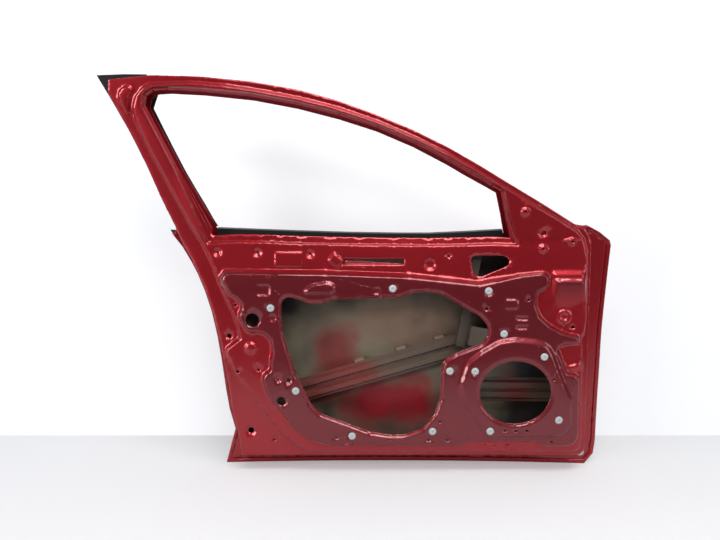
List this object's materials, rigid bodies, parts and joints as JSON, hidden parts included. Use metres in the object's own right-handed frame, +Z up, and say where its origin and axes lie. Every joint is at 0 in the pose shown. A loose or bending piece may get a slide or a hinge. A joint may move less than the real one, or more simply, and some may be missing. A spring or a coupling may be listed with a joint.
{
  "type": "car door shell",
  "caption": "Framed left front car door shell: hemmed steel outer skin, stamped inner panel with large access and speaker openings, impact beam, black frame and belt trims.",
  "frame": {"origin": "centre of the upper hinge seat on the front shut face", "axes": "+X towards the front of the car, +Y outwards to the outer skin, +Z up"},
  "size_m": [1.3913, 0.2162, 1.0969],
  "materials": {
    "body_paint": "deep metallic red body paint under clear coat",
    "inner_primer": "olive grey primer with red overspray",
    "black_trim": "satin black moulded trim",
    "nylon": "off-white moulded nylon",
    "mastic": "dull expanded mastic"
  },
  "bodies": {
    "root": {"inner_panel": "body_paint", "outer_skin": "body_paint", "window_frame_outer": "body_paint", "glass_channel": "body_paint", "roof_trim": "black_trim", "pillar_trim": "black_trim", "belt_moulding": "black_trim", "belt_reinforcement_inner": "body_paint", "belt_reinforcement_outer": "inner_primer", "impact_beam": "inner_primer", "hinge_reinforcement_upper": "body_paint", "hinge_reinforcement_lower": "body_paint", "check_strap_reinforcement": "body_paint", "latch_reinforcement": "body_paint", "beam_bracket_front": "inner_primer", "beam_bracket_rear": "inner_primer", "mastic_pad_1": "mastic", "mastic_pad_2": "mastic", "mastic_pad_3": "mastic", "lower_stiffener": "inner_primer", "mirror_reinforcement": "body_paint", "front_glass_channel": "inner_primer", "rear_glass_channel": "inner_primer", "front_channel_bracket": "inner_primer", "rear_channel_bracket": "inner_primer", "front_channel_foot": "inner_primer", "handle_reinforcement": "inner_primer", "trim_plug_1": "nylon", "trim_plug_2": "nylon", "trim_plug_3": "nylon", "trim_plug_4": "nylon", "trim_plug_5": "nylon", "trim_plug_6": "nylon", "trim_plug_7": "nylon", "trim_plug_8": "nylon", "trim_plug_9": "nylon", "trim_plug_10": "nylon", "trim_plug_11": "nylon", "trim_plug_12": "nylon", "drain_plug": "nylon"}
  },
  "joints": []
}
